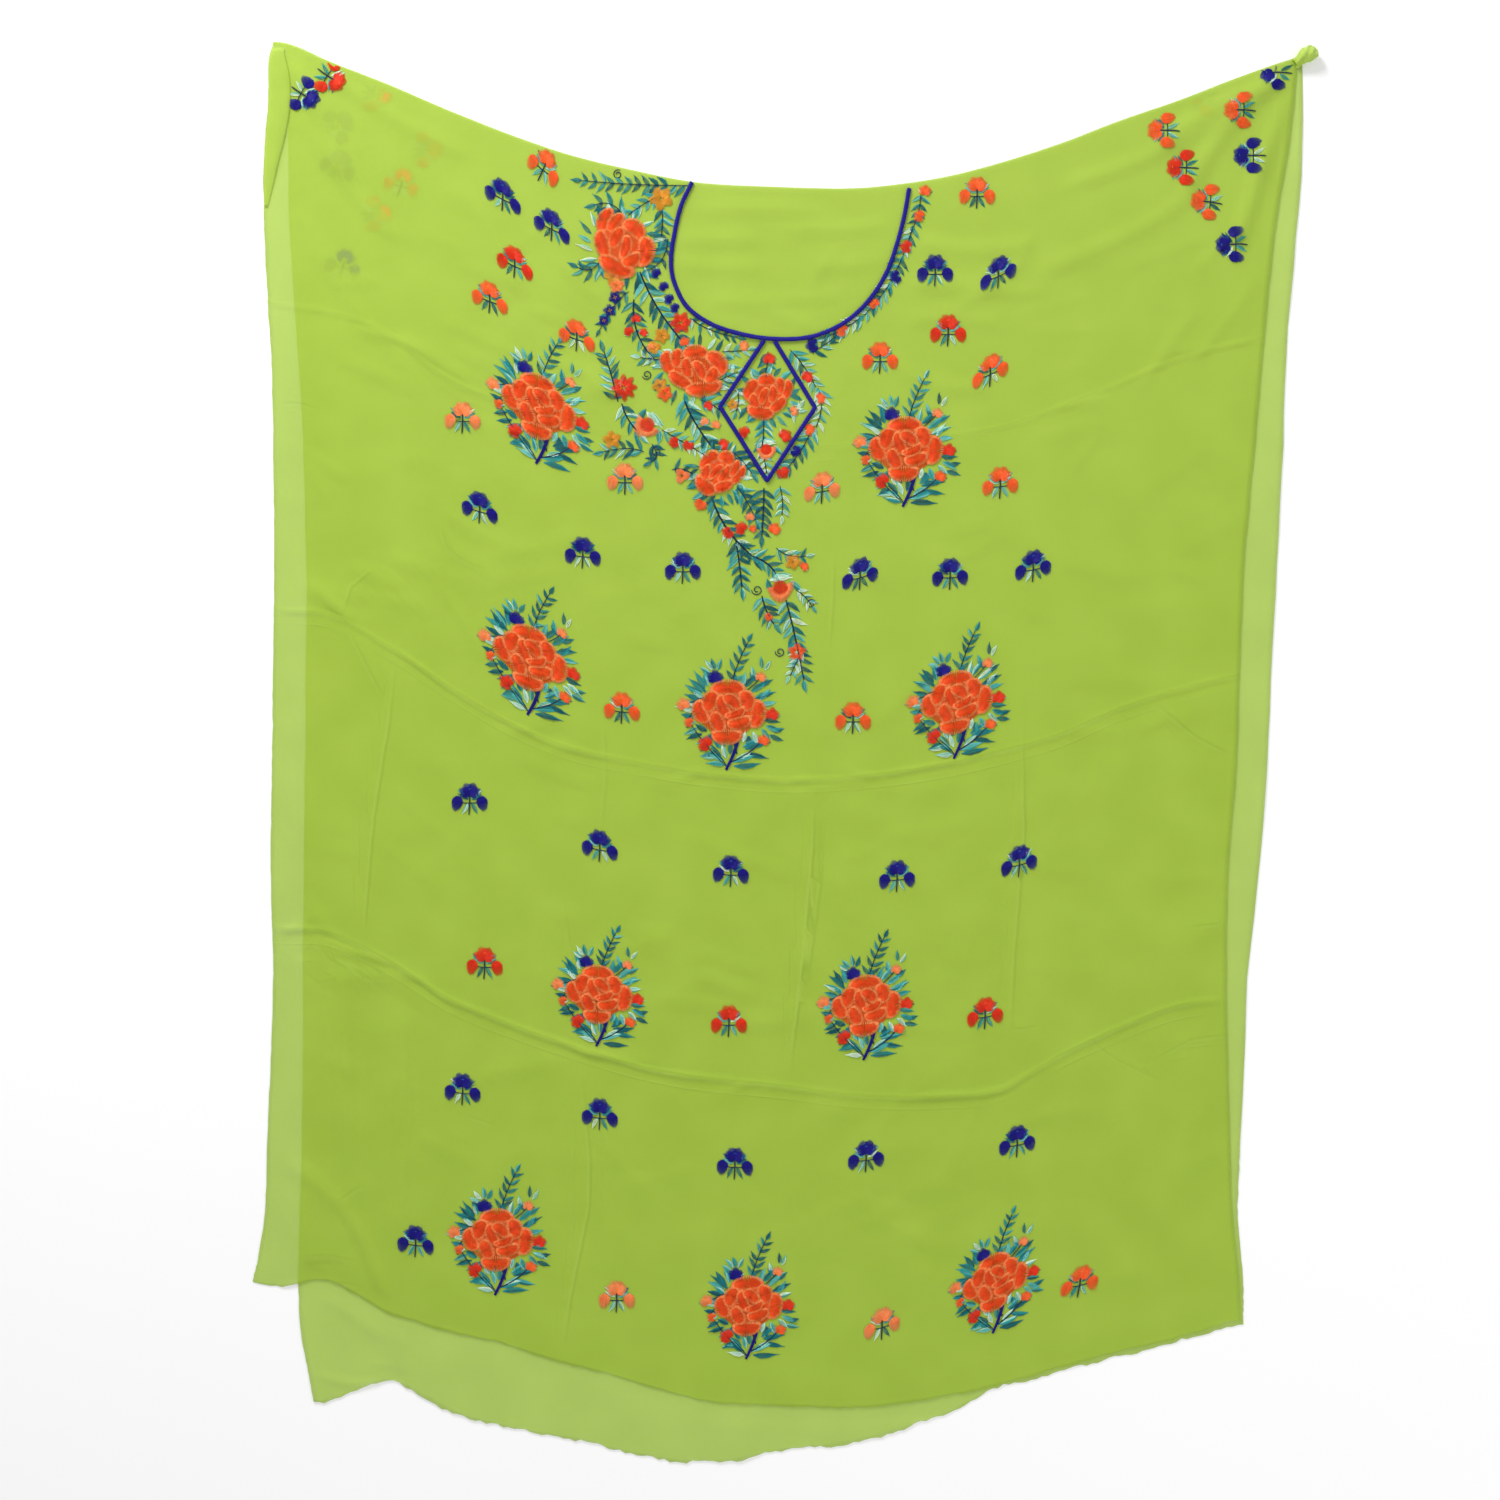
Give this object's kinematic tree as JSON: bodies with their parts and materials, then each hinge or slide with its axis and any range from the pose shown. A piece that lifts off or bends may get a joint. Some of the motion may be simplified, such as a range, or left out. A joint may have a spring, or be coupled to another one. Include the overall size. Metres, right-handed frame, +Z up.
{
  "type": "unstitched embroidered kurti length",
  "caption": "Sheer kurti length laid flat, folded at the shoulder line, with an embroidered front on a longer plain back, a corded neckline and large worked roses.",
  "frame": {"origin": "on the surface that the cloth lies on, under the middle of its outline", "axes": "+Z up from the surface, +Y from the hem towards the neck, +X to the right of the front as it is looked at from above"},
  "size_m": [1.0649, 1.4204, 0.015],
  "materials": {
    "georgette": "sheer crepe georgette, matt with a soft grain, lime green",
    "navy_yarn": "twisted embroidery yarn, navy, low sheen",
    "orange_yarn": "embroidery yarn worked thick, deep orange, low sheen"
  },
  "bodies": {
    "root": {"front_panel": "georgette", "back_panel": "georgette", "left_corner_tab": "georgette", "right_corner_knot": "georgette", "neck_cord": "navy_yarn", "placket_cord": "navy_yarn", "rose_01": "orange_yarn", "rose_02": "orange_yarn", "rose_03": "orange_yarn", "rose_04": "orange_yarn", "rose_05": "orange_yarn", "rose_06": "orange_yarn", "rose_07": "orange_yarn", "rose_08": "orange_yarn", "rose_09": "orange_yarn", "rose_10": "orange_yarn", "rose_11": "orange_yarn", "rose_12": "orange_yarn", "rose_13": "orange_yarn", "rose_14": "orange_yarn"}
  },
  "joints": []
}
